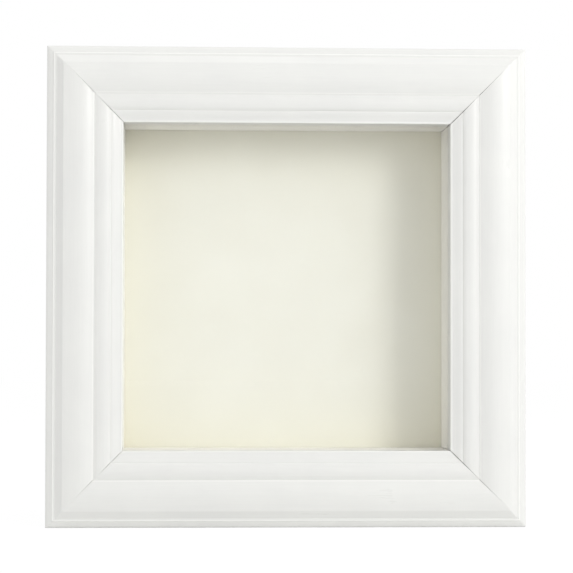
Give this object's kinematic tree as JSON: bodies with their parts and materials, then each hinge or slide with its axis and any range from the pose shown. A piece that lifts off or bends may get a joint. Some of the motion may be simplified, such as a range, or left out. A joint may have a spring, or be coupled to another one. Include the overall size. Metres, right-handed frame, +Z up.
{
  "type": "shadow box frame",
  "caption": "Square deep shadow box frame: white mitred stepped moulding, glass, deep lined cavity, cream board, removable back on turn buttons.",
  "frame": {"origin": "centre of the bottom of the bounding box, on the surface that the frame stands on", "axes": "+Z up, -Y towards the viewer (the moulded front), +X to the right seen from the front"},
  "size_m": [0.2794, 0.0636, 0.2794],
  "materials": {
    "white_paint": "satin white paint on wood",
    "spacer_paint": "matte white paint on wood",
    "cream_board": "matte cream paper face",
    "hardboard": "raw brown hardboard",
    "clear_glass": "clear picture glass",
    "zinc_plate": "zinc-plated pressed steel",
    "zinc_screw": "zinc-plated steel",
    "nail_steel": "bright steel",
    "bumper_rubber": "soft pale rubber"
  },
  "bodies": {
    "frame": {"top_rail": "white_paint", "bottom_rail": "white_paint", "left_rail": "white_paint", "right_rail": "white_paint", "v_nail_bottom_left_outer": "nail_steel", "v_nail_bottom_left_inner": "nail_steel", "v_nail_top_left_outer": "nail_steel", "v_nail_top_left_inner": "nail_steel", "v_nail_top_right_outer": "nail_steel", "v_nail_top_right_inner": "nail_steel", "v_nail_bottom_right_outer": "nail_steel", "v_nail_bottom_right_inner": "nail_steel", "glass_pane": "clear_glass", "spacer_top": "spacer_paint", "spacer_bottom": "spacer_paint", "spacer_left": "spacer_paint", "spacer_right": "spacer_paint", "turn_screw_left_upper": "zinc_screw", "turn_screw_left_lower": "zinc_screw", "turn_screw_right_upper": "zinc_screw", "turn_screw_right_lower": "zinc_screw", "sawtooth_hanger": "zinc_plate", "hanger_nail_left": "nail_steel", "hanger_nail_right": "nail_steel", "bumper_left": "bumper_rubber", "bumper_right": "bumper_rubber"},
    "back_panel": {"display_board": "cream_board", "back_board": "hardboard"},
    "turn_button_left_upper": {"turn_button_left_upper": "zinc_plate"},
    "turn_button_left_lower": {"turn_button_left_lower": "zinc_plate"},
    "turn_button_right_upper": {"turn_button_right_upper": "zinc_plate"},
    "turn_button_right_lower": {"turn_button_right_lower": "zinc_plate"}
  },
  "joints": [
    {"name": "back_panel_slide", "type": "slide", "parent": "frame", "child": "back_panel", "axis": [0, 1, 0], "range_m": [0, 0.1]},
    {"name": "turn_button_left_upper_pivot", "type": "hinge", "parent": "frame", "child": "turn_button_left_upper", "pos_m": [-0.1106, 0.0288, 0.1957], "axis": [0, 1, 0], "continuous": true},
    {"name": "turn_button_left_lower_pivot", "type": "hinge", "parent": "frame", "child": "turn_button_left_lower", "pos_m": [-0.1106, 0.0288, 0.0837], "axis": [0, -1, 0], "continuous": true},
    {"name": "turn_button_right_upper_pivot", "type": "hinge", "parent": "frame", "child": "turn_button_right_upper", "pos_m": [0.1106, 0.0288, 0.1957], "axis": [0, -1, 0], "continuous": true},
    {"name": "turn_button_right_lower_pivot", "type": "hinge", "parent": "frame", "child": "turn_button_right_lower", "pos_m": [0.1106, 0.0288, 0.0837], "axis": [0, 1, 0], "continuous": true}
  ]
}
